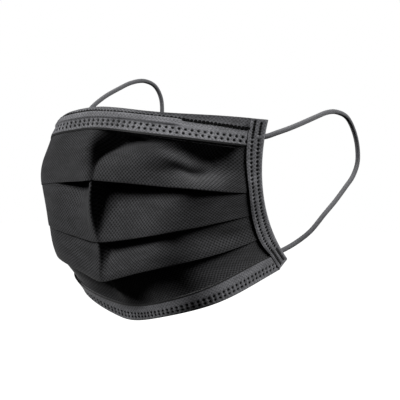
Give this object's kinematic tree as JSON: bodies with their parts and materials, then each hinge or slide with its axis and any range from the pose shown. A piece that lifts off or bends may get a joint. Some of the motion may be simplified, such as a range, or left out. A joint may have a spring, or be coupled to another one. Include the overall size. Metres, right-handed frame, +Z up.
{
  "type": "disposable face mask",
  "caption": "Pleated disposable face mask in its worn shape, with folded hems, a nose wire, side binding tapes and elastic ear loops.",
  "frame": {"origin": "nose seat: the point on the bridge of the nose that the middle of the top hem rests on", "axes": "+Z up, the wearer looks along -Y, the wearer's left is +X"},
  "size_m": [0.136, 0.1338, 0.1253],
  "materials": {
    "panel_cloth": "black nonwoven polypropylene, finely embossed",
    "hem_cloth": "black nonwoven polypropylene, smooth face",
    "elastic": "black knitted elastic",
    "wire": "bare galvanised wire"
  },
  "bodies": {
    "root": {"pleated_panel": "panel_cloth", "top_band": "hem_cloth", "top_band_back": "hem_cloth", "nose_wire": "wire", "bottom_band": "hem_cloth", "side_band_left": "hem_cloth", "side_band_right": "hem_cloth", "ear_loop_left": "elastic", "ear_loop_right": "elastic"}
  },
  "joints": []
}
